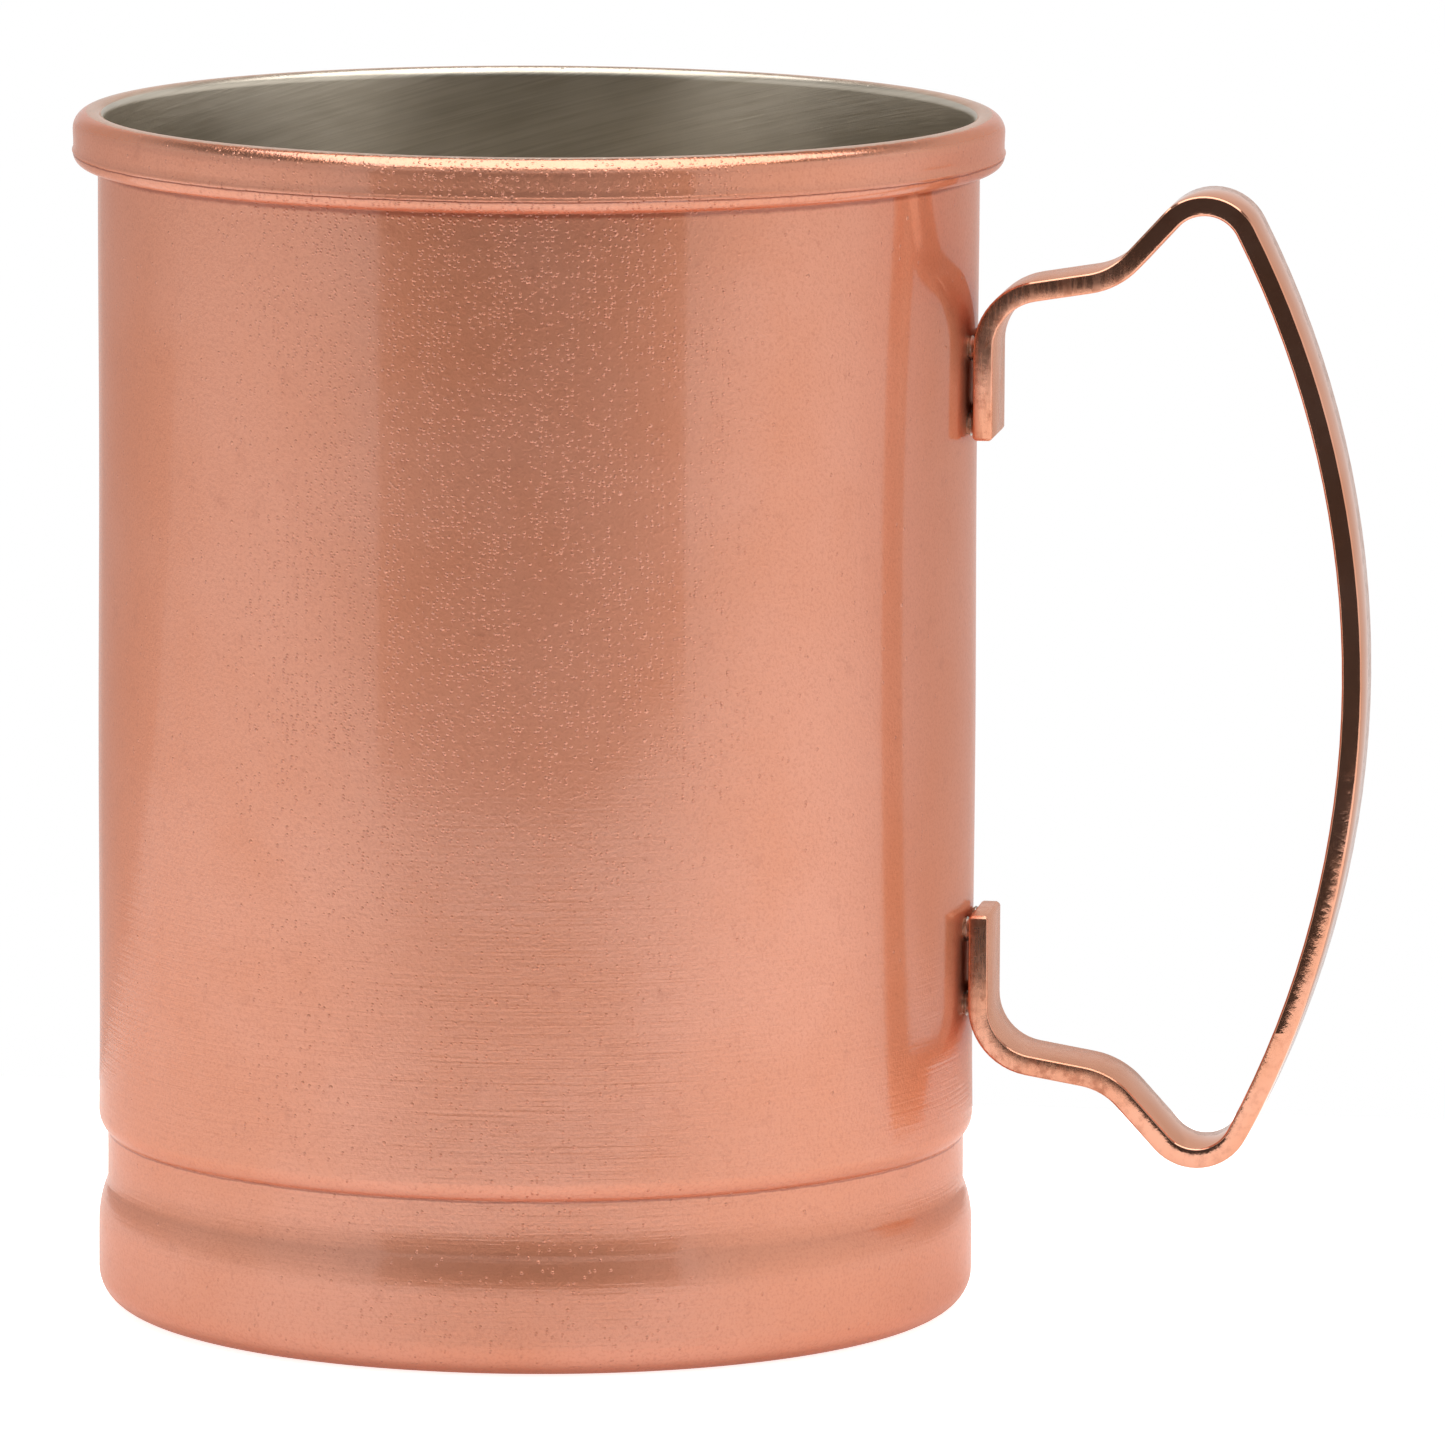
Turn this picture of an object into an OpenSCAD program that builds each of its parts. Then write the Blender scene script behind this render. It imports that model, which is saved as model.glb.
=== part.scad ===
// Copper-plated steel mug: a rolled-rim wall sleeve, a pressed base cup brazed into it,
// and a handle bent from flat strip that is projection-welded to the wall.
// Millimetres, +Z up. The origin is on the cup's axis at the resting plane, and the handle is at +X.

/* [Cup] */
// Outer diameter of the wall
cup_d = 88; // [80:0.5:100]
// Height from the resting plane to the top of the rim
cup_h = 120.3; // [105:0.1:140]
// Thickness of the steel sheet
sheet_t = 0.6; // [0.5:0.05:0.7]

/* [Rolled rim] */
// How far the rolled rim stands out from the wall
rim_out = 2.5; // [2.4:0.1:3]
// Height of the rolled rim
rim_h = 5.4; // [4.5:0.05:7]
// Radius of the rim's inner upper edge
rim_inner_r = 1; // [0.9:0.05:1]
// Radius of the rim's outer upper edge
rim_outer_r = 1.8; // [1.5:0.1:1.9]
// Radius of the rounded underside of the rim
rim_under_r = 1.35; // [1.2:0.05:1.5]
// Gap between the rim's tucked edge and the wall
rim_tuck = 0.15; // [0.1:0.05:0.3]
// Height of the roller's witness ridge round the rim
ridge_out = 0.09; // [0.05:0.01:0.15]

/* [Base] */
// Outer diameter of the base cup's neck
neck_d = 86.2; // [78.6:0.1:98]
// Height of the upper edge of the base cup inside the wall
base_h = 26; // [23:0.5:32]
// Height where the wall's lower edge starts to curl in over the neck
lip_z = 19.6; // [18.5:0.1:21]
// Outer radius of that curl
lip_r = 2.7; // [2.4:0.1:3.2]
// Height where the foot starts to narrow towards the neck
foot_z = 8.1; // [7:0.1:9]
// Radius of the shoulder between foot and neck
shoulder_r = 10.8; // [9:0.1:12]
// Radius of the bottom corner
corner_r = 3.5; // [2.5:0.1:5]
// Radial width of the ring that the mug rests on
rest_w = 3.5; // [2:0.5:6]
// Height of the floor panel above the resting plane
floor_up = 1.5; // [1:0.1:2]

/* [Handle] */
// Width of the strip
strip_w = 10; // [8:0.5:14]
// Thickness of the strip
strip_t = 2; // [1.5:0.1:2.5]
// Gap between the wall and the strip's pads, which the welds bridge
pad_gap = 0.4; // [0.3:0.05:0.6]
// Height of the middle of the handle
handle_z = 64.85; // [60:0.05:75]
// Distance from the handle's middle to the free end of each pad
pad_end = 23.85; // [20:0.05:27]
// Distance from the handle's middle to each shelf, where it meets the pad
shelf_v = 38.05; // [36:0.05:42]
// Run of each shelf, from the pad to the ramp
shelf_run = 13.05; // [12:0.05:16]
// Slope of each shelf away from the handle's middle
shelf_angle = 9.5; // [5:0.5:14]
// Slope of each ramp between shelf and tip
ramp_angle = 47.5; // [42:0.5:52]
// Radius of the bend between pad and shelf
pad_bend_r = 6; // [4:0.1:6.5]
// Radius of the bend between shelf and ramp
ramp_bend_r = 7.3; // [5:0.1:8]
// Radius of the bend at each tip of the grip
tip_bend_r = 4.6; // [3.5:0.1:6]
// Radius of the long curve of the grip
grip_r = 98.5; // [90:0.5:120]
// Distance from the cup's axis to the middle of the grip
grip_reach = 82.5; // [80:0.5:86]

/* [Welds] */
// Diameter of a weld nugget
nugget_d = 2.4; // [1.5:0.1:3]
// Distance of the nuggets from the middle of the strip
nugget_y = 3.4; // [2:0.1:3.5]
// Distance of the outer nuggets from the free end of the pad
nugget_edge = 1.6; // [1.5:0.1:3]

/* [Hidden] */
$fn = 180;
copper = "#c98468";
steel = "#b9b6ae";
braze = "#d8d4c8";
cup_r = cup_d / 2;
bore_r = cup_r - sheet_t;
rim_r = cup_r + rim_out;
rim_z = cup_h - rim_h;
neck_r = neck_d / 2;
neck_bore_r = neck_r - sheet_t;
lip_cx = cup_r - lip_r;
shoulder_cx = cup_r - shoulder_r;
corner_cx = cup_r - corner_r;
rest_r = corner_cx - rest_w;
panel_r = rest_r - floor_up;
ridge_h = 0.35;
pad_u = cup_r + pad_gap + strip_t / 2;
grip_cu = grip_reach - grip_r;
end_weld_v = pad_end + nugget_edge;
bend_weld_v = shelf_v - pad_bend_r * tan((90 - shelf_angle) / 2);

// Points along an arc round [x, y], both ends included
function arc(x, y, r, a0, a1, n = 6) =
    [for (i = [0:n]) let (a = a0 + (a1 - a0) * i / n) [x + r * cos(a), y + r * sin(a)]];

// The angle at which a circle of radius r round x reaches the distance to
function reach(x, r, to) = acos((to - x) / r);

// Centre of a bend of radius r at corner p, from heading a0 to heading a1
function bend_centre(p, r, a0, a1) =
    let (side = sign(a1 - a0), run = r * tan(abs(a1 - a0) / 2))
    [p.x - run * cos(a0) - side * r * sin(a0), p.y - run * sin(a0) + side * r * cos(a0)];

// Section of the sheet that makes the wall: bore, rolled rim, outside, curled lower edge
function wall_section() = concat(
    arc(lip_cx, lip_z, lip_r - sheet_t, -reach(lip_cx, lip_r - sheet_t, neck_r), 0),
    arc(bore_r + rim_inner_r, cup_h - rim_inner_r, rim_inner_r, 180, 90),
    arc(rim_r - rim_outer_r, cup_h - rim_outer_r, rim_outer_r, 90, 0, 8),
    [[rim_r, rim_z + rim_under_r + ridge_h], [rim_r + ridge_out, rim_z + rim_under_r + ridge_h / 3]],
    arc(rim_r - rim_under_r, rim_z + rim_under_r, rim_under_r, 0, -90, 8),
    [[cup_r + rim_tuck, rim_z], [cup_r + rim_tuck, rim_z + sheet_t]],
    arc(rim_r - rim_under_r, rim_z + rim_under_r, rim_under_r - sheet_t, -90, 0, 8),
    arc(rim_r - rim_outer_r, cup_h - rim_outer_r, rim_outer_r - sheet_t, 0, 90),
    arc(bore_r + rim_inner_r, cup_h - rim_inner_r, rim_inner_r - sheet_t, 90, 180),
    arc(lip_cx, lip_z, lip_r, 0, -reach(lip_cx, lip_r, neck_r), 8)
);

// Section of the sheet that makes the base: floor, resting ring, foot, shoulder, neck
function base_section() = concat(
    [[0, floor_up], [panel_r, floor_up], [rest_r, 0]],
    arc(corner_cx, corner_r, corner_r, -90, 0, 8),
    arc(shoulder_cx, foot_z, shoulder_r, 0, reach(shoulder_cx, shoulder_r, neck_r)),
    [[neck_r, base_h], [neck_bore_r, base_h]],
    arc(shoulder_cx, foot_z, shoulder_r - sheet_t, reach(shoulder_cx, shoulder_r - sheet_t, neck_bore_r), 0),
    arc(corner_cx, corner_r, corner_r - sheet_t, 0, -90, 8),
    [[rest_r + sheet_t / 2, sheet_t], [panel_r + sheet_t / 2, floor_up + sheet_t], [0, floor_up + sheet_t]]
);

// One face of the upper half of the strip, from the pad's end to the middle of the grip;
// side is 1 for the face towards the outside of the handle and -1 for the face towards the fingers
function half_face(side) =
    let (
        off = side * strip_t / 2,
        up = 90,
        c1 = bend_centre([pad_u, shelf_v], pad_bend_r, up, shelf_angle),
        corner = [pad_u + shelf_run, shelf_v + shelf_run * tan(shelf_angle)],
        c2 = bend_centre(corner, ramp_bend_r, shelf_angle, ramp_angle),
        // the tip's centre lies tip_bend_r below the ramp and tip_bend_r inside the grip's curve
        p = [corner.x + tip_bend_r * sin(ramp_angle) - grip_cu, corner.y - tip_bend_r * cos(ramp_angle)],
        along = p.x * cos(ramp_angle) + p.y * sin(ramp_angle),
        run = -along + sqrt(along ^ 2 - (p.x ^ 2 + p.y ^ 2) + (grip_r - tip_bend_r) ^ 2),
        c3 = [p.x + grip_cu + run * cos(ramp_angle), p.y + run * sin(ramp_angle)],
        turn = atan2(c3.y, c3.x - grip_cu)
    )
    concat(
        [[pad_u - off, pad_end]],
        arc(c1.x, c1.y, pad_bend_r + off, 180, 90 + shelf_angle, 10),
        arc(c2.x, c2.y, ramp_bend_r - off, shelf_angle - 90, ramp_angle - 90, 8),
        arc(c3.x, c3.y, tip_bend_r + off, 90 + ramp_angle, turn, 12),
        [for (i = [1:12]) let (a = turn * (1 - i / 12))
            [grip_cu + (grip_r + off) * cos(a), (grip_r + off) * sin(a)]]
    );

// A whole face: the upper half, then its mirror image without the shared middle point
function face(side) =
    let (half = half_face(side), n = len(half))
    concat(half, [for (i = [n - 2:-1:0]) [half[i].x, -half[i].y]]);

function reversed(points) = [for (i = [len(points) - 1:-1:0]) points[i]];

// Nuggets on both sides of the strip at a height, from the wall's surface to the pad
module nuggets(z) {
    difference() {
        for (y = [-nugget_y, nugget_y])
            translate([cup_r - 1, y, z])
                rotate([0, 90, 0])
                    cylinder(d = nugget_d, h = 1 + pad_gap);
        translate([0, 0, z - nugget_d])
            cylinder(r = cup_r, h = 2 * nugget_d);
    }
}

module cup_wall() {
    color(copper)
        rotate_extrude()
            polygon(wall_section());
}

module base_cup() {
    color(copper)
        rotate_extrude()
            polygon(base_section());
}

// The filler that closes the lap between the neck and the wall
module seam_braze() {
    color(braze)
        translate([0, 0, lip_z])
            difference() {
                cylinder(r = bore_r, h = base_h - lip_z);
                translate([0, 0, -1])
                    cylinder(r = neck_r, h = base_h - lip_z + 2);
            }
}

module handle_strap() {
    color(copper)
        translate([0, 0, handle_z])
            rotate([90, 0, 0])
                linear_extrude(height = strip_w, center = true)
                    polygon(concat(face(1), reversed(face(-1))));
}

module upper_welds() {
    color(steel) {
        nuggets(handle_z + end_weld_v);
        nuggets(handle_z + bend_weld_v);
    }
}

module lower_welds() {
    color(steel) {
        nuggets(handle_z - end_weld_v);
        nuggets(handle_z - bend_weld_v);
    }
}

cup_wall();
base_cup();
seam_braze();
handle_strap();
upper_welds();
lower_welds();
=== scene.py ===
# %% [markdown]
# A copper-plated steel mug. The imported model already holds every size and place, so it is loaded
# first, as a fixed frame. Each visible piece is then modelled again as a clean mesh, with the
# small radii and the surface finish that the plain design leaves out.

# %% Load the frame
import bpy
from math import acos, atan2, cos, pi, radians, sin, sqrt, tan
from mathutils import Matrix, Vector


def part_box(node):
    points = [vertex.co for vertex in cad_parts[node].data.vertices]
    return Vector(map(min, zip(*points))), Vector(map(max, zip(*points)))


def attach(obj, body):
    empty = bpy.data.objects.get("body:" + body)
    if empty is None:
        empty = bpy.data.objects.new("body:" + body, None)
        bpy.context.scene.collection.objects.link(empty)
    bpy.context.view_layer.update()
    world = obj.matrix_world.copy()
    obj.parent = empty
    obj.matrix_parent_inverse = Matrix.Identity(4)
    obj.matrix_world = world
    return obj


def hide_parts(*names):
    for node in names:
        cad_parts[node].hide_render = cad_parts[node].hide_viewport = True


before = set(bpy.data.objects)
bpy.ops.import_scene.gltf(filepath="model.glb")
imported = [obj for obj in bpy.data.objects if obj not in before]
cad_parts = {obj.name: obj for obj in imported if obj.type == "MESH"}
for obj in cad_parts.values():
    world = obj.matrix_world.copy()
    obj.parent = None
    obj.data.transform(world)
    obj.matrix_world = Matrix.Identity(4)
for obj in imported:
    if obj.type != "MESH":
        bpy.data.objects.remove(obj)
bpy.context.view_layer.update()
MM = 0.001
print("nodes:", sorted(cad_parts))

# %% [markdown]
# The driving sizes come from the frame. The base cup's box gives the wall's radius, because foot
# and wall are turned to the same diameter. The strip's box gives its width and how far it reaches.
# The rest are sheet-metal radii, in millimetres, that a box can't show.

# %% Sizes
def box_mm(node):
    """The two far corners of a node's box, in millimetres."""
    low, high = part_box(node)
    return Vector(low) / MM, Vector(high) / MM


wall_high = box_mm("cup_wall")[1]
base_high = box_mm("base_cup")[1]
strip_low, strip_high = box_mm("handle_strap")
sheet_t = 0.6
cup_r = base_high.x
bore_r = cup_r - sheet_t
cup_h = wall_high.z
ridge_out = 0.09
rim_r = wall_high.x - ridge_out
print(f"wall radius {cup_r:.2f} mm, rim radius {rim_r:.2f} mm, height {cup_h:.2f} mm")

# %% [markdown]
# Three helpers do the turning. An outline is drawn in the XZ plane by extruding one point again and
# again, as with the E key, and a full spin about Z makes the body of revolution. A spin can come
# out inside out, so doubles are merged first and the normals are then recalculated.

# %% Turning helpers
def arc(x, z, r, start, end, steps=6):
    """Points along an arc round (x, z), in millimetres and degrees, both ends included."""
    turns = [radians(start + (end - start) * i / steps) for i in range(steps + 1)]
    return [(x + r * cos(a), z + r * sin(a)) for a in turns]


def draw_outline(name, points, closed=True):
    """A new object in edit mode that holds the outline as a chain of edges."""
    bpy.ops.object.select_all(action="DESELECT")
    bpy.ops.mesh.primitive_plane_add(size=MM)
    piece = bpy.context.object
    piece.name = name
    bpy.ops.object.mode_set(mode="EDIT")
    bpy.ops.mesh.select_mode(type="VERT")
    bpy.ops.mesh.select_all(action="SELECT")
    bpy.ops.mesh.merge(type="CENTER")
    bpy.ops.transform.translate(value=(points[0][0] * MM, 0, points[0][1] * MM))
    for (x0, z0), (x1, z1) in zip(points, points[1:]):
        step = ((x1 - x0) * MM, 0, (z1 - z0) * MM)
        bpy.ops.mesh.extrude_vertices_move(TRANSFORM_OT_translate={"value": step})
    if closed:
        bpy.ops.object.mode_set(mode="OBJECT")
        vertices = piece.data.vertices
        for v in vertices:
            v.select = v.index in (0, len(vertices) - 1)
        bpy.ops.object.mode_set(mode="EDIT")
        bpy.ops.mesh.edge_face_add()
    return piece


def turn(name, points, closed=True, steps=288):
    """Spins an outline into a body of revolution with its faces outwards."""
    piece = draw_outline(name, points, closed)
    bpy.ops.mesh.select_all(action="SELECT")
    bpy.ops.mesh.spin(steps=steps, angle=2 * pi, center=(0, 0, 0), axis=(0, 0, 1))
    bpy.ops.mesh.select_all(action="SELECT")
    bpy.ops.mesh.remove_doubles(threshold=1e-6)
    bpy.ops.mesh.normals_make_consistent(inside=False)
    bpy.ops.object.mode_set(mode="OBJECT")
    bpy.ops.object.shade_smooth_by_angle(angle=radians(32))
    print(f"{name}: {len(piece.data.polygons)} faces")
    return piece

# %% [markdown]
# The wall is one sheet. On the real mug its upper edge is curled outwards over a roller until it
# closes on itself, which leaves a flat-faced rim with a faint ridge where the roller ended. Its
# lower edge is curled in over the base. Drawing the sheet's whole section and spinning it keeps
# the hollow in the curl and the feathered lower edge, which a solidified surface would lose.
# Drawing the sheet over its punch also left slow waves of a tenth of a millimetre down the wall.

# %% The wall and its rolled rim
rim_h = 5.4
rim_z = cup_h - rim_h
rim_inner_r = 1.0
rim_outer_r = 1.8
rim_under_r = 1.35
rim_tuck = 0.15
face_dish = 0.05
neck_r = 43.1
lip_z = 19.6
lip_r = 2.7
wave_depth = 0.09
wave_length = 56


def reach(x, r, to):
    """The angle, in degrees, at which a circle round x gets as far out as the radius to."""
    return acos((to - x) / r) * 180 / pi


def wall_radius(z):
    """Outer radius of the wall, with its slow waves, fading to none at both ends."""
    top, bottom = rim_z - 2, lip_z
    fade = min(1, (top - z) / 6 + 0.6, (z - bottom) / 6)
    return cup_r - wave_depth * fade * (0.5 - 0.5 * cos(2 * pi * (top - z) / wave_length))


lip_x = cup_r - lip_r
wave_steps = 36
wall_heights = [rim_z - 2 - (rim_z - 2 - lip_z) * i / wave_steps for i in range(wave_steps)]
under = (rim_r - rim_under_r, rim_z + rim_under_r)
wall_outline = (
    arc(lip_x, lip_z, lip_r - sheet_t, -reach(lip_x, lip_r - sheet_t, neck_r), 0, 4)
    + arc(bore_r + rim_inner_r, cup_h - rim_inner_r, rim_inner_r, 180, 90, 8)
    + arc(rim_r - rim_outer_r, cup_h - rim_outer_r, rim_outer_r, 90, 0, 12)
    + [(rim_r - face_dish, under[1] + 1.1), (rim_r - face_dish, under[1] + 0.42)]
    + [(rim_r - 0.01, under[1] + 0.33), (rim_r + ridge_out * 0.7, under[1] + 0.22)]
    + [(rim_r + ridge_out * 0.8, under[1] + 0.14), (rim_r + ridge_out * 0.7, under[1] + 0.06)]
    + [(rim_r - 0.02, under[1] - 0.02), (rim_r - 0.06, under[1] - 0.1)]
    + arc(*under, rim_under_r, -8, -90, 12)
    + [(cup_r + rim_tuck, rim_z), (cup_r + rim_tuck, rim_z + sheet_t)]
    + arc(*under, rim_under_r - sheet_t, -90, 0)
    + arc(rim_r - rim_outer_r, cup_h - rim_outer_r, rim_outer_r - sheet_t, 0, 90)
    + arc(bore_r + rim_inner_r, cup_h - rim_inner_r, rim_inner_r - sheet_t, 90, 180, 4)
    + [(wall_radius(z), z) for z in wall_heights]
    + arc(lip_x, lip_z, lip_r, 0, -reach(lip_x, lip_r, neck_r), 10)
)
cup_wall = turn("mug_wall", wall_outline)

# %% [markdown]
# The base is a shallow pressed cup: a raised floor panel, a ring that it rests on, the foot with
# its rounded corner, a soft shoulder, and a straight neck that goes up inside the wall. The outline
# starts and ends on the axis, so its two ends stay open and merge into poles when it is spun.

# %% The base cup
neck_bore_r = neck_r - sheet_t
base_h = base_high.z
foot_z = 8.1
shoulder_r = 10.8
corner_r = 3.5
rest_w = 3.5
floor_up = 1.5
corner_x = cup_r - corner_r
shoulder_x = cup_r - shoulder_r
rest_r = corner_x - rest_w
panel_r = rest_r - floor_up
step_r = 0.8


def panel_edge(up, r):
    """The rounded step between the floor panel and the resting ring, for one side of the sheet."""
    return [
        (panel_r - r, up),
        (panel_r - r * 0.3, up - 0.1 * r),
        (panel_r + r * 0.25, up - 0.42 * r),
    ]


inner_shoulder_r = shoulder_r - sheet_t
base_outline = (
    [(0, floor_up), (panel_r * 0.5, floor_up)]
    + panel_edge(floor_up, step_r)
    + [(rest_r - 0.4, 0.3), (rest_r, 0.06), (rest_r + 0.5, 0)]
    + arc(corner_x, corner_r, corner_r, -90, 0, 12)
    + [(cup_r, 5.5)]
    + arc(shoulder_x, foot_z, shoulder_r, 0, reach(shoulder_x, shoulder_r, neck_r), 12)
    + [(neck_r, 15), (neck_r, base_h), (neck_bore_r, base_h), (neck_bore_r, 15)]
    + arc(
        shoulder_x,
        foot_z,
        inner_shoulder_r,
        reach(shoulder_x, inner_shoulder_r, neck_bore_r),
        0,
        12,
    )
    + arc(corner_x, corner_r, corner_r - sheet_t, 0, -90, 12)
    + [(rest_r + 0.3, sheet_t)]
    + [(x + 0.4, z) for x, z in reversed(panel_edge(floor_up + sheet_t, step_r))]
    + [(panel_r * 0.5, floor_up + sheet_t), (0, floor_up + sheet_t)]
)
base_cup = turn("mug_base", base_outline, closed=False)

# %% [markdown]
# Silver brazing filler is drawn into the lap between neck and wall, and its top edge dries as a
# small hollow meniscus. It is turned too, because the lap is a thin ring.

# %% The brazed seam
braze_outline = [
    (neck_r, lip_z),
    (bore_r, lip_z),
    (bore_r, base_h),
    (bore_r - 0.08, base_h - 0.09),
    (bore_r - 0.16, base_h - 0.11),
    (neck_r + 0.04, base_h - 0.06),
    (neck_r, base_h),
]
seam_braze = turn("mug_seam_braze", braze_outline)

# %% [markdown]
# The handle is one flat strip, bent five times in its thin direction. It is drawn edge-on: a short
# edge, as long as the strip is thick, is extruded along the straights and spun round the bends, as
# the strip is bent round pins. Only the upper half is drawn, with its heights counted from the
# handle's middle. A Mirror modifier makes the other half, and one extrusion gives the width.

# %% The bent strip
strip_t = 2.0
strip_w = strip_high.y - strip_low.y
handle_z = (strip_high.z + strip_low.z) / 2
pad_u = strip_low.x + strip_t / 2
grip_reach = strip_high.x - strip_t / 2
grip_r = 98.5
grip_x = grip_reach - grip_r
pad_end = 23.85
shelf_v = 38.05
shelf_run = 13.05
shelf_angle = 9.5
ramp_angle = 47.5
pad_bend_r = 6.0
ramp_bend_r = 7.3
tip_bend_r = 4.6


def bend_centre(x, v, r, heading_in, heading_out):
    """Centre of the pin that bends the strip at the corner (x, v) from one heading to the other."""
    side = 1 if heading_out > heading_in else -1
    run = r * tan(radians(abs(heading_out - heading_in) / 2))
    a = radians(heading_in)
    return x - run * cos(a) - side * r * sin(a), v - run * sin(a) + side * r * cos(a)


pad_pin = bend_centre(pad_u, shelf_v, pad_bend_r, 90, shelf_angle)
corner = (pad_u + shelf_run, shelf_v + shelf_run * tan(radians(shelf_angle)))
ramp_pin = bend_centre(*corner, ramp_bend_r, shelf_angle, ramp_angle)
# The tip's pin touches the ramp and the grip's long curve from inside.
slope = (cos(radians(ramp_angle)), sin(radians(ramp_angle)))
from_grip = (corner[0] + tip_bend_r * slope[1] - grip_x, corner[1] - tip_bend_r * slope[0])
along = from_grip[0] * slope[0] + from_grip[1] * slope[1]
room = along**2 - from_grip[0] ** 2 - from_grip[1] ** 2 + (grip_r - tip_bend_r) ** 2
ramp_run = sqrt(room) - along
tip_pin = (from_grip[0] + grip_x + ramp_run * slope[0], from_grip[1] + ramp_run * slope[1])
grip_angle = atan2(tip_pin[1], tip_pin[0] - grip_x) * 180 / pi


def selected_middle(piece):
    """Middle of the selected points, in millimetres."""
    piece.update_from_editmode()
    chosen = [v.co for v in piece.data.vertices if v.select]
    return sum(chosen, Vector()) / len(chosen) / MM


def bend(piece, pin, degrees, steps):
    """Bends the strip on round a pin. A positive angle raises its heading."""
    centre = (pin[0] * MM, 0, pin[1] * MM)
    bpy.ops.mesh.spin(steps=steps, angle=radians(degrees), center=centre, axis=(0, 1, 0))


def straight(piece, x, v):
    """Extrudes the strip's end so that its middle reaches (x, v)."""
    now = selected_middle(piece)
    step = ((x - now.x) * MM, 0, (v - now.z) * MM)
    bpy.ops.mesh.extrude_region_move(TRANSFORM_OT_translate={"value": step})


def on_pin(pin, r, degrees):
    """The point on a circle round a pin, counted from straight out."""
    return pin[0] + r * cos(radians(degrees)), pin[1] + r * sin(radians(degrees))


strap = draw_outline(
    "mug_handle", [(pad_u - strip_t / 2, pad_end), (pad_u + strip_t / 2, pad_end)], closed=False
)
bpy.ops.mesh.select_all(action="SELECT")
straight(strap, *on_pin(pad_pin, pad_bend_r, 180))
bend(strap, pad_pin, shelf_angle - 90, 12)
straight(strap, *on_pin(ramp_pin, ramp_bend_r, shelf_angle - 90))
bend(strap, ramp_pin, ramp_angle - shelf_angle, 8)
straight(strap, *on_pin(tip_pin, tip_bend_r, ramp_angle + 90))
bend(strap, tip_pin, grip_angle - ramp_angle - 90, 16)
bend(strap, (grip_x, 0), -grip_angle, 16)
print("middle of the grip:", [round(c, 2) for c in selected_middle(strap)])

# %% Mirror the strip and give it its width
bpy.ops.object.mode_set(mode="OBJECT")
mirror = strap.modifiers.new("lower_half", "MIRROR")
mirror.use_axis = (False, False, True)
mirror.merge_threshold = 0.01 * MM
bpy.ops.object.modifier_apply(modifier=mirror.name)
bpy.ops.object.mode_set(mode="EDIT")
bpy.ops.mesh.select_all(action="SELECT")
bpy.ops.transform.translate(value=(0, -strip_w / 2 * MM, handle_z * MM))
bpy.ops.mesh.extrude_region_move(TRANSFORM_OT_translate={"value": (0, strip_w * MM, 0)})
bpy.ops.mesh.select_all(action="SELECT")
bpy.ops.mesh.remove_doubles(threshold=1e-6)
bpy.ops.mesh.normals_make_consistent(inside=False)
bpy.ops.object.mode_set(mode="OBJECT")

# %% [markdown]
# The strip's free ends are cropped with slightly rounded corners, and tumbling rounds all of its
# edges a little. The end corners are bevelled in edit mode; a Bevel modifier that picks edges by
# their angle then rounds every long edge, because the bends turn only a few degrees per step.

# %% Round the strip's corners and edges
corner_round = 0.4
edge_round = 0.24


def select_edges(piece, wanted):
    """Selects the edges for which wanted(middle, direction) is true, then enters edit mode."""
    bpy.ops.object.mode_set(mode="OBJECT")
    mesh = piece.data
    for group in (mesh.vertices, mesh.edges, mesh.polygons):
        group.foreach_set("select", [False] * len(group))
    for edge in mesh.edges:
        a, b = (mesh.vertices[i].co for i in edge.vertices)
        edge.select = wanted((a + b) / 2 / MM, (b - a).normalized())
    bpy.ops.object.mode_set(mode="EDIT")
    bpy.ops.mesh.select_mode(type="EDGE")


pad_tops = (handle_z - pad_end, handle_z + pad_end)
select_edges(
    strap,
    lambda middle, way: abs(way.x) > 0.9
    and middle.x < pad_u + strip_t
    and min(abs(middle.z - end) for end in pad_tops) < 0.1,
)
bpy.ops.mesh.bevel(offset=corner_round * MM, segments=4)
bpy.ops.object.mode_set(mode="OBJECT")
rounding = strap.modifiers.new("tumbled_edges", "BEVEL")
rounding.width = edge_round * MM
rounding.segments = 3
rounding.limit_method = "ANGLE"
rounding.angle_limit = radians(40)
bpy.ops.object.modifier_apply(modifier=rounding.name)
bpy.ops.object.shade_smooth_by_angle(angle=radians(32))
print(f"handle: {len(strap.data.polygons)} faces")

# %% [markdown]
# Each pad is held by four weld nuggets: projections on the strip that melted into the wall when a
# current was pressed through them. Each has a waist that bulges where the metal was squeezed out.
# One nugget is turned, laid across the gap, and copied to the other places.

# %% The weld nuggets
nugget_r = 1.2
nugget_y = 3.4
nugget_edge = 1.6
into_wall = 0.15
into_pad = 0.1
weld_heights = (pad_end + nugget_edge, pad_pin[1])


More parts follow.
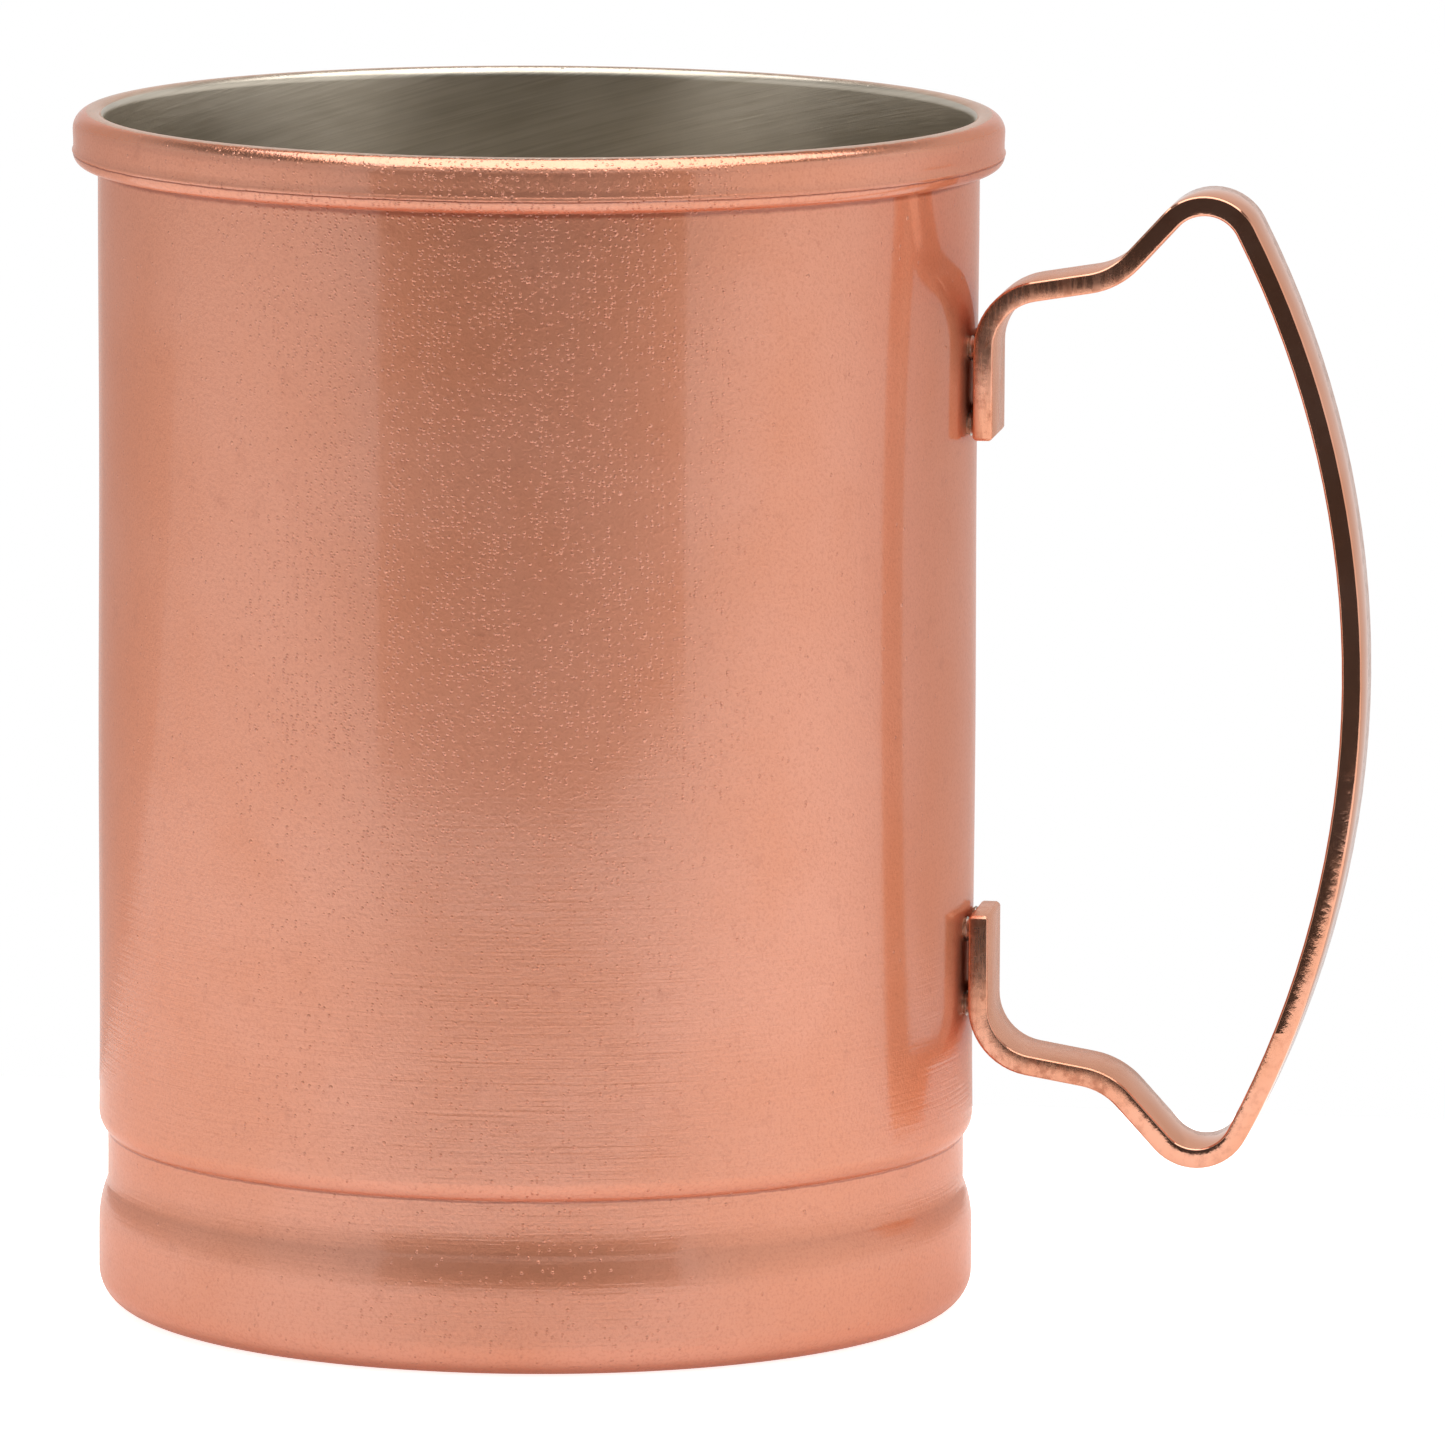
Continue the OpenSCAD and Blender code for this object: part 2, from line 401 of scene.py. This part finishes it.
def weld_nugget(name, y, z):
    """A squeezed nugget from inside the wall's skin to just inside the pad."""
    start = sqrt(cup_r**2 - y**2) - into_wall
    length = strip_low.x + into_pad - start
    nugget = turn(
        name,
        [
            (0, 0),
            (nugget_r * 0.86, 0),
            (nugget_r * 0.9, length * 0.2),
            (nugget_r, length * 0.38),
            (nugget_r * 1.04, length * 0.5),
            (nugget_r, length * 0.62),
            (nugget_r * 0.9, length * 0.8),
            (nugget_r * 0.86, length),
            (0, length),
        ],
        closed=False,
        steps=32,
    )
    bpy.ops.object.mode_set(mode="EDIT")
    bpy.ops.mesh.select_all(action="SELECT")
    bpy.ops.transform.rotate(value=-pi / 2, orient_axis="Y", center_override=(0, 0, 0))
    nugget.update_from_editmode()
    if max(v.co.x for v in nugget.data.vertices) < 0.1 * MM:
        bpy.ops.transform.rotate(value=pi, orient_axis="Y", center_override=(0, 0, 0))
    bpy.ops.transform.translate(value=(start * MM, y * MM, z * MM))
    bpy.ops.object.mode_set(mode="OBJECT")
    return nugget


def weld_group(name, side):
    """The four nuggets of one pad, joined: side is 1 for the upper pad and -1 for the lower."""
    nuggets = [
        weld_nugget(f"{name}_{i}_{j}", y, handle_z + side * v)
        for i, y in enumerate((-nugget_y, nugget_y))
        for j, v in enumerate(weld_heights)
    ]
    bpy.ops.object.select_all(action="DESELECT")
    for nugget in nuggets:
        nugget.select_set(True)
    bpy.context.view_layer.objects.active = nuggets[0]
    bpy.ops.object.join()
    nuggets[0].name = name
    return nuggets[0]


upper_welds = weld_group("mug_upper_welds", 1)
lower_welds = weld_group("mug_lower_welds", -1)

# %% [markdown]
# Materials. One helper turns a colour sample to linear light, and one adds a node with its
# settings and links, so that a material reads as a list of steps.

# %% Material helpers
def linear(code):
    """An sRGB hex colour as linear light with alpha."""
    parts = [int(code[i : i + 2], 16) / 255 for i in (1, 3, 5)]
    return (*[c / 12.92 if c <= 0.04045 else ((c + 0.055) / 1.055) ** 2.4 for c in parts], 1)


def add(tree, kind, settings=None, **inputs):
    """Adds a node. Settings are its own properties; inputs are socket values or links, by name or
    by index written as _0, _1."""
    node = tree.nodes.new("ShaderNode" + kind)
    for key, value in (settings or {}).items():
        setattr(node, key, value)
    for key, value in inputs.items():
        socket = node.inputs[int(key[1:]) if key[0] == "_" else key.replace("_", " ")]
        if isinstance(value, bpy.types.NodeSocket):
            tree.links.new(value, socket)
        else:
            socket.default_value = value
    return node


def new_metal(name):
    """A material with one fully metallic shader; returns it with its tree and shader."""
    material = bpy.data.materials.new(name)
    material.use_nodes = True
    tree = material.node_tree
    shader = tree.nodes["Principled BSDF"]
    shader.inputs["Metallic"].default_value = 1
    return material, tree, shader


def ramp(tree, value, low, high, to_low=0.0, to_high=1.0, smooth=True):
    """Maps value from low..high to to_low..to_high, clamped."""
    kind = "SMOOTHSTEP" if smooth else "LINEAR"
    node = add(
        tree,
        "MapRange",
        {"interpolation_type": kind},
        Value=value,
        From_Min=low,
        From_Max=high,
        To_Min=to_low,
        To_Max=to_high,
    )
    return node.outputs["Result"]


def compute(tree, operation, *values):
    """One step of arithmetic on sockets or plain numbers."""
    sockets = {f"_{i}": value for i, value in enumerate(values)}
    return add(tree, "Math", {"operation": operation}, **sockets).outputs["Value"]


def noise(tree, where, size_mm, detail=2.0, rough=0.5):
    """Noise whose lumps are about size_mm across."""
    scale = 1 / (size_mm * MM)
    node = add(tree, "TexNoise", None, Vector=where, Scale=scale, Detail=detail, Roughness=rough)
    return node.outputs["Fac"]


def mix_colour(tree, factor, a, b):
    """Colour a where the factor is 0 and colour b where it is 1."""
    node = tree.nodes.new("ShaderNodeMix")
    node.data_type = "RGBA"
    for index, value in ((0, factor), (6, a), (7, b)):
        if isinstance(value, bpy.types.NodeSocket):
            tree.links.new(value, node.inputs[index])
        else:
            node.inputs[index].default_value = value
    return node.outputs[2]


def stretched(tree, where, shape, turn_by=(0, 0, 0)):
    """Coordinates in which a pattern is sized by shape along each axis, and then turned."""
    settings = {"vector_type": "TEXTURE"}
    node = add(tree, "Mapping", settings, Vector=where, Scale=shape, Rotation=turn_by)
    return node.outputs["Vector"]


# %% [markdown]
# Lacquered copper plate on drawn steel. Electroplating grows a fine matt grain, so the metal itself
# gives a broad, hazy sheen. Clear lacquer keeps it from tarnishing, and adds a faint crisp
# reflection that draws sharp edges round the lights. Grains caught under the lacquer stand out as
# tiny pebbles, crowded in some patches and scattered in others, each with a painted shade just
# below it. Thin bands of painted shade darken the rim's crevices and the seam. The bore was masked
# from the bath, so the plate stops in a slightly ragged line along the rim's crown. The steel
# inside keeps the slanted strokes of a brushing wheel.

# %% Copper plate outside, brushed steel inside
copper_light = linear("#d69276")
copper_deep = linear("#d38b6b")
copper_stain_and_shade = linear("#a9634b")
copper_edge = linear("#f4b597")
steel_light = linear("#d2c8b8")
steel_dull = linear("#b4aa99")
crown_r = (bore_r + 1.8) * MM
crown_z = (cup_h - 0.5) * MM
pebble_gap = 0.5
# Painted shade: thin dark bands where shade falls under the rolled rim, below the ridge and at the
# seam.
crevice_shade_bands = (
    (rim_z - 0.3, 0.25, 0.5),  # under the rolled rim
    (rim_z + rim_under_r - 0.15, 0.1, 0.15),  # below the ridge on the rim's face
    (17.5, 0.15, 0.2),  # where the neck goes up into the wall
)


def pebbles(tree, where, spacing_mm, radius, share):
    """Domed grains on a random lattice, 1 at their tops. Share is how many cells have one."""
    cells = add(tree, "TexVoronoi", None, Vector=where, Scale=1 / (spacing_mm * MM), Randomness=0.7)
    chosen = add(tree, "SeparateColor", None, Color=cells.outputs["Color"]).outputs["Red"]
    there = compute(tree, "LESS_THAN", chosen, share)
    square = compute(tree, "POWER", compute(tree, "DIVIDE", cells.outputs["Distance"], radius), 2.0)
    dome = compute(tree, "MAXIMUM", compute(tree, "SUBTRACT", 1.0, square), 0.0)
    return compute(tree, "MULTIPLY", dome, there)


def copper_surface(tree, where):
    """Colour, roughness, and the heights in metres of the metal and of the lacquer."""
    clouds = noise(tree, where, 24, 3, 0.55)
    mottle = noise(tree, where, 2.6, 4, 0.6)
    grain = noise(tree, where, 0.32, 2, 0.6)
    axes = add(tree, "SeparateXYZ", None, Vector=where)
    up = axes.outputs["Z"]
    # grains under the lacquer, thickest on the upper front, and a painted shade just below each one
    patch = ramp(tree, noise(tree, where, 13, 3, 0.55), 0.36, 0.56, 0.25, 0.98)
    front = ramp(tree, axes.outputs["Y"], -42 * MM, -34 * MM, 1, 0.04)
    patch = compute(tree, "MULTIPLY", patch, front)
    patch = compute(tree, "MULTIPLY", patch, ramp(tree, up, 42 * MM, 60 * MM, 0.25, 1))
    small = pebbles(tree, where, pebble_gap, 0.34, patch)
    large = pebbles(tree, where, 2.8, 0.08, 0.4)
    # painted shade: a darker dot just below each grain, found by looking up the grains a little
    # higher
    grain_shade_offset = (0.05 * MM, 0, 0.14 * MM)
    shade_lookup_point = add(tree, "VectorMath", {"operation": "ADD"}, _0=where, _1=grain_shade_offset)
    shade_below_grain = pebbles(tree, shade_lookup_point.outputs["Vector"], pebble_gap, 0.3, patch)
    colour = mix_colour(tree, ramp(tree, clouds, 0.35, 0.68), copper_light, copper_deep)
    tarnish_and_shade = compute(
        tree, "ADD", ramp(tree, mottle, 0.58, 0.82, 0, 0.3), ramp(tree, grain, 0.48, 0.72, 0, 0.16)
    )
    # the painted shade below the grains joins the random tarnish
    tarnish_and_shade = compute(tree, "MULTIPLY_ADD", shade_below_grain, 0.6, tarnish_and_shade)
    # the mottle makes the edges of the painted crevice shade wander by up to 0.3 mm
    near = compute(tree, "MULTIPLY_ADD", mottle, 0.3 * MM, up)
    # painted shade along each crevice band
    for height, reach_up, reach_down in crevice_shade_bands:
        middle = height + 0.15
        upper = ramp(tree, near, middle * MM, (middle + reach_up) * MM, 1, 0)
        lower = ramp(tree, near, (middle - reach_down) * MM, middle * MM)
        crevice_shade = compute(tree, "MULTIPLY", upper, lower)
        tarnish_and_shade = compute(tree, "MULTIPLY_ADD", crevice_shade, 1.2, tarnish_and_shade)
    # random tarnish and painted shade both darken the copper towards the stain colour
    colour = mix_colour(tree, compute(tree, "MINIMUM", tarnish_and_shade, 1.0), colour, copper_stain_and_shade)
    burnish = ramp(tree, up, (cup_h - 1.3) * MM, (cup_h - 0.8) * MM, 0.48, 0.22)
    roughness = compute(tree, "ADD", ramp(tree, grain, 0.3, 0.7, -0.04, 0.05), burnish)
    # fine lines left by turning, clearest low on the wall
    turning = noise(tree, stretched(tree, where, (1, 1, 0.02)), 16, 3, 0.6)
    low = ramp(tree, up, 30 * MM, 62 * MM, 0.03 * MM, 0.004 * MM)
    lacquer = compute(tree, "MULTIPLY", small, 0.05 * MM)
    lacquer = compute(tree, "MULTIPLY_ADD", large, 0.08 * MM, lacquer)
    lacquer = compute(tree, "MULTIPLY_ADD", turning, low, lacquer)
    lacquer = compute(tree, "MULTIPLY_ADD", grain, 0.003 * MM, lacquer)
    metal = compute(tree, "MULTIPLY_ADD", grain, 0.035 * MM, lacquer)
    metal = compute(tree, "MULTIPLY_ADD", mottle, 0.02 * MM, metal)
    return colour, roughness, metal, lacquer


def steel_surface(tree, where):
    """Colour, roughness, and the height in metres of the brushed bore."""
    slant = (0, radians(-15), 0)
    strokes = noise(tree, stretched(tree, where, (1, 1, 0.02), slant), 12, 3, 0.6)
    hairs = noise(tree, stretched(tree, where, (1, 1, 0.02), slant), 6, 3, 0.6)
    clouds = noise(tree, stretched(tree, where, (1, 1, 0.5)), 24, 3, 0.55)
    tone = compute(tree, "MULTIPLY_ADD", strokes, 0.35, compute(tree, "MULTIPLY", clouds, 0.65))
    colour = mix_colour(tree, ramp(tree, tone, 0.34, 0.68), steel_dull, steel_light)
    roughness = ramp(tree, hairs, 0.3, 0.7, 0.3, 0.37)
    height = compute(tree, "MULTIPLY", strokes, 0.004 * MM)
    height = compute(tree, "MULTIPLY_ADD", hairs, 0.004 * MM, height)
    return colour, roughness, height


def bumpy(tree, height):
    """The surface's direction, tilted by a height in metres."""
    return add(tree, "Bump", None, Strength=1.0, Distance=1.0, Height=height).outputs["Normal"]


def finish_metal(tree, shader, colour, roughness, height):
    """Links a surface's colour, roughness and height to its shader."""
    tree.links.new(colour, shader.inputs["Base Color"])
    tree.links.new(roughness, shader.inputs["Roughness"])
    tree.links.new(bumpy(tree, height), shader.inputs["Normal"])


def lacquer_over(tree, shader, height):
    """A clear coat with its own skin. Half a coat of a high index looks the same from the front
    and from a slant, where a full coat of a lower index would whiten the sides."""
    shader.inputs["Coat Weight"].default_value = 0.5
    shader.inputs["Coat Roughness"].default_value = 0.07
    shader.inputs["Coat IOR"].default_value = 1.9
    tree.links.new(bumpy(tree, height), shader.inputs["Coat Normal"])


def plated_cup():
    """Lacquered copper plate, with bare stainless steel on the crown where the bath was masked."""
    material, tree, shader = new_metal("lacquered_copper_plate")
    where = add(tree, "TexCoord").outputs["Object"]
    axes = add(tree, "SeparateXYZ", None, Vector=where)
    flat = add(tree, "CombineXYZ", None, X=axes.outputs["X"], Y=axes.outputs["Y"])
    radius = add(tree, "VectorMath", {"operation": "LENGTH"}, _0=flat.outputs["Vector"])
    ragged = ramp(tree, noise(tree, where, 1.3, 3, 0.6), 0.3, 0.7, -0.12 * MM, 0.12 * MM, False)
    edge = compute(tree, "ADD", radius.outputs["Value"], ragged)
    within = ramp(tree, edge, crown_r - 0.15 * MM, crown_r + 0.15 * MM, 1, 0)
    on_crown = compute(tree, "GREATER_THAN", axes.outputs["Z"], crown_z)
    bare = compute(tree, "MULTIPLY", within, on_crown)
    colour, roughness, metal, lacquer = copper_surface(tree, where)
    steel = steel_surface(tree, where)
    colour = mix_colour(tree, bare, colour, steel[0])
    roughness = add(tree, "Mix", {"data_type": "FLOAT"}, _0=bare, _2=roughness, _3=steel[1])
    finish_metal(tree, shader, colour, roughness.outputs[0], metal)
    lacquer_over(tree, shader, lacquer)
    shader.inputs["Specular Tint"].default_value = copper_edge
    return material


def brushed_bore():
    """Brushed stainless steel, for the faces that the bath never touched."""
    material, tree, shader = new_metal("brushed_stainless_steel")
    where = add(tree, "TexCoord").outputs["Object"]
    finish_metal(tree, shader, *steel_surface(tree, where))
    return material


plate = plated_cup()
bore_steel = brushed_bore()


def inner_skin(face):
    """True on the sheet's inner side: the wall's bore and all that shows inside the base."""
    out = Vector((face.center.x, face.center.y, 0)).normalized()
    height = face.center.z / MM
    inside_floor = sheet_t / 2 < height < 8
    neck_top = base_h - 1 < height < base_h + 1
    return face.normal.dot(out) < -0.7 or (face.normal.z > 0.7 and (inside_floor or neck_top))


for piece in (cup_wall, base_cup):
    piece.data.materials.clear()
    piece.data.materials.append(plate)
    piece.data.materials.append(bore_steel)
    for face in piece.data.polygons:
        face.material_index = int(inner_skin(face))

# %% [markdown]
# Bright copper plate on the strip. The strip was buffed before plating, so its broad faces are
# nearly mirrors. Its narrow faces are sheared: they keep shallow dents that flicker between dark
# and bright. On the grip they lean back a little, so that they mirror the dark opening instead of
# the board. Near the wall, out of the buffing wheel's reach, they are duller and browner.

# %% Bright copper plate on the strip
strip_light = linear("#e2a68c")
strip_deep = linear("#d9997b")
strip_brown = linear("#a8674e")
strip_edge = linear("#f7e2d6")
strip_lean = 2.3
lean_from = 30
buffed_from = 60


def plated_strip():
    """Buffed copper plate, with sheared narrow faces and duller ends."""
    material, tree, shader = new_metal("bright_copper_plate")
    coords = add(tree, "TexCoord")
    where = coords.outputs["Object"]
    axes = add(tree, "SeparateXYZ", None, Vector=where)
    out, up = axes.outputs["X"], axes.outputs["Z"]
    facing = add(tree, "SeparateXYZ", None, Vector=coords.outputs["Normal"]).outputs["Y"]
    sheared = ramp(tree, compute(tree, "ABSOLUTE", facing), 0.8, 0.95)
    unbuffed = ramp(tree, out, (buffed_from - 3) * MM, (buffed_from + 3) * MM, 1, 0)
    scratches = noise(tree, stretched(tree, where, (0.1, 0.1, 1)), 4, 3, 0.6)
    dents = noise(tree, where, 1.3, 4, 0.65)
    clouds = noise(tree, where, 9, 3, 0.5)
    colour = mix_colour(tree, ramp(tree, clouds, 0.35, 0.65), strip_light, strip_deep)
    worn = compute(tree, "MULTIPLY", sheared, ramp(tree, dents, 0.45, 0.7, 0.1, 0.6))
    worn = compute(tree, "MULTIPLY", worn, ramp(tree, unbuffed, 0, 1, 0.5, 1.3, False))
    colour = mix_colour(tree, worn, colour, strip_brown)
    dull = compute(tree, "MULTIPLY", unbuffed, ramp(tree, scratches, 0.3, 0.7, 0.12, 0.24))
    roughness = compute(tree, "ADD", ramp(tree, dents, 0.4, 0.7, 0.07, 0.13), dull)
    depth = ramp(tree, sheared, 0, 1, 0.006 * MM, 0.022 * MM, False)
    height = compute(tree, "MULTIPLY", dents, depth)
    # above the grip's lower end the sheared faces lean back a little, as they left the shears
    leaning = compute(tree, "MAXIMUM", compute(tree, "SUBTRACT", up, lean_from * MM), 0.0)
    leaning = compute(tree, "MULTIPLY", leaning, ramp(tree, out, 50 * MM, 64 * MM, smooth=False))
    height = compute(tree, "MULTIPLY_ADD", leaning, -tan(radians(strip_lean)), height)
    finish_metal(tree, shader, colour, roughness, height)
    shader.inputs["Specular Tint"].default_value = strip_edge
    return material


strap.data.materials.clear()
strap.data.materials.append(plated_strip())

# %% [markdown]
# Silver braze and weld metal. Both froze from a melt and were left as they set, so they are pale,
# a little rough, and rippled.

# %% Braze and weld metal
def cast_metal(name, code, rough):
    """Metal that froze from a melt, in the given colour."""
    material, tree, shader = new_metal(name)
    where = add(tree, "TexCoord").outputs["Object"]
    ripple = noise(tree, where, 0.6, 3, 0.6)
    colour = mix_colour(tree, ramp(tree, ripple, 0.4, 0.7), linear(code), linear("#8f877a"))
    roughness = ramp(tree, ripple, 0.3, 0.7, rough, rough + 0.15)
    finish_metal(tree, shader, colour, roughness, compute(tree, "MULTIPLY", ripple, 0.06 * MM))
    return material


seam_braze.data.materials.clear()
seam_braze.data.materials.append(cast_metal("silver_braze", "#d9d3c4", 0.28))
weld_metal = cast_metal("weld_metal", "#cfc9c0", 0.3)
for piece in (upper_welds, lower_welds):
    piece.data.materials.clear()
    piece.data.materials.append(weld_metal)

# %% [markdown]
# Everything is one rigid body. Each row gives a piece, its node and a slot name; the piece
# rides on the body and stands in for its node, which is hidden.

# %% Tie the pieces to the frame
for piece, node, slot in (
    (cup_wall, "cup_wall", "copper_plate"),
    (base_cup, "base_cup", "copper_plate"),
    (seam_braze, "seam_braze", "braze"),
    (strap, "handle_strap", "polished_copper_plate"),
    (upper_welds, "upper_welds", "bare_steel"),
    (lower_welds, "lower_welds", "bare_steel"),
):
    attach(piece, "root")
    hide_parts(node)

# %% [markdown]
# The studio. A satin cylinder is lit by what it reflects, so the light is a pale room with one
# dark opening in front, and a white board that ends a forearm's length in front of the mug. The
# opening gives the wall its darker middle band, and the board's front edge gives the band its soft
# lower end. The board is thin, with a rounded edge. It glows, as a lit sheet of acrylic does, which
# softens the contact shadow. It glows more where it is seen directly, so that it joins the white
# room without a line.

# %% The table
table_front = 0.39
table_back = 0.12
table_half = 1.2
board_t = 0.012
board_glow = 0.3
direct_glow = 0.5
bpy.ops.object.select_all(action="DESELECT")
bpy.ops.mesh.primitive_cube_add(
    size=1, location=(0, (table_back - table_front) / 2, -board_t / 2)
)
table = bpy.context.object
table.name = "table"
table.scale = (2 * table_half, table_back + table_front, board_t)
bpy.ops.object.transform_apply(location=True, rotation=True, scale=True)
table_edge = table.modifiers.new("table_edge", "BEVEL")
table_edge.width = 0.003
table_edge.segments = 3
bpy.ops.object.modifier_apply(modifier=table_edge.name)
bpy.ops.object.shade_smooth_by_angle(angle=radians(32))
table_paint = bpy.data.materials.new("matt_white_board")
table_paint.use_nodes = True
tree = table_paint.node_tree
board = tree.nodes["Principled BSDF"]
board.inputs["Base Color"].default_value = linear("#f8f8f7")
board.inputs["Roughness"].default_value = 0.9
board.inputs["Emission Color"].default_value = (1, 1, 1, 1)
direct = add(tree, "LightPath").outputs["Is Camera Ray"]
glow = compute(tree, "MULTIPLY_ADD", direct, direct_glow, board_glow)
tree.links.new(glow, board.inputs["Emission Strength"])
table.data.materials.append(table_paint)

# %% [markdown]
# The room is painted in the world shader by direction. Seen directly it is plain white. In
# reflections it has pale walls up to head height on both sides, brighter on the right, the dark
# opening between them, a doorway on the right, a white backdrop, dimmer gaps beside the backdrop,
# and a dim ceiling. The opening faces the camera's first place.

# %% The room
view_turn = 9.0
opening_turn = view_turn - 1.75
opening_half = 40.25
opening_top = 29
wall_top = 37
ceiling_light = 0.2
opening_light = 0.08
gap_light = 0.72

world = bpy.data.worlds.new("white_room")
bpy.context.scene.world = world
world.use_nodes = True
tree = world.node_tree
background = tree.nodes["Background"]
way = add(tree, "TexCoord").outputs["Generated"]
axes = add(tree, "SeparateXYZ", None, Vector=way)
flat = add(tree, "CombineXYZ", None, X=axes.outputs["X"], Y=axes.outputs["Y"])
heading = add(tree, "VectorMath", {"operation": "NORMALIZE"}, _0=flat.outputs["Vector"])


def sector(turn_by, half, soft):
    """1 for headings within half of turn_by, counted in degrees from straight in front."""
    aim = (sin(radians(turn_by)), -cos(radians(turn_by)), 0)
    towards = add(
        tree, "VectorMath", {"operation": "DOT_PRODUCT"}, _0=heading.outputs["Vector"], _1=aim
    )
    edges = (cos(radians(half + soft)), cos(radians(half - soft)))
    return ramp(tree, towards.outputs["Value"], *edges)


def blend(tree, factor, a, b):
    """Brightness a where the factor is 0 and brightness b where it is 1."""
    return add(tree, "Mix", {"data_type": "FLOAT"}, _0=factor, _2=a, _3=b).outputs[0]


def above(elevation, soft):
    """1 above an elevation in degrees, 0 below it."""
    low, high = sin(radians(elevation - soft)), sin(radians(elevation + soft))
    return ramp(tree, axes.outputs["Z"], low, high)


light = gap_light
for turn_by, half, soft, level in (
    (-62, 60, 10, 0.77),  # left wall
    (-46, 14, 8, 0.9),  # its brighter front end
    (54, 64, 12, 1.03),  # right wall
    (148, 16, 8, 0.8),  # doorway behind it
    (180, 15, 3, 0.86),  # backdrop
):
    light = blend(tree, sector(view_turn + turn_by, half, soft), light, level)
opening = compute(tree, "SUBTRACT", sector(opening_turn, opening_half, 1), above(opening_top, 3))
light = blend(tree, compute(tree, "MAXIMUM", opening, 0.0), light, opening_light)
light = blend(tree, above(wall_top, 8), light, ceiling_light)
light = blend(tree, add(tree, "LightPath").outputs["Is Camera Ray"], light, 1.0)
tree.links.new(light, background.inputs["Strength"])
background.inputs["Color"].default_value = (1, 1, 1, 1)

# %% [markdown]
# One large soft box hangs over the mug. It whitens the table and draws the pale line along the
# rim's shoulder.

# %% The overhead lamp
def soft_lamp(name, size, radiance, place, aim):
    """A rectangular lamp of the given size in metres and brightness."""
    bpy.ops.object.light_add(type="AREA", location=place)
    lamp = bpy.context.object
    lamp.name = name
    lamp.data.shape = "RECTANGLE"
    lamp.data.size, lamp.data.size_y = size
    lamp.data.energy = radiance * size[0] * size[1] * pi
    lamp.rotation_euler = (Vector(aim) - Vector(place)).to_track_quat("-Z", "Y").to_euler()
    return lamp


soft_lamp("overhead_lamp", (1.1, 1.05), 2.6, (0.08, -0.05, 0.85), (0.08, -0.05, 0))

# %% [markdown]
# The camera looks a little down on the mug from far away through a long lens, turned so that the
# handle points slightly towards it.

# %% The camera
camera_out = 1.37335
camera_up = 0.26209
look_right = 0.776
look_down = 8.426
camera_roll = 0.305
bpy.ops.object.camera_add()
camera = bpy.context.object
camera.name = "camera"
camera.data.sensor_width = 36
camera.data.lens = 344.5
turned = radians(view_turn)
camera.matrix_world = (
    Matrix.Translation((camera_out * sin(turned), -camera_out * cos(turned), camera_up))
    @ Matrix.Rotation(radians(view_turn - look_right), 4, "Z")
    @ Matrix.Rotation(radians(90 - look_down), 4, "X")
    @ Matrix.Rotation(radians(camera_roll), 4, "Z")
)
bpy.context.scene.camera = camera
bpy.context.scene.view_settings.view_transform = "Standard"
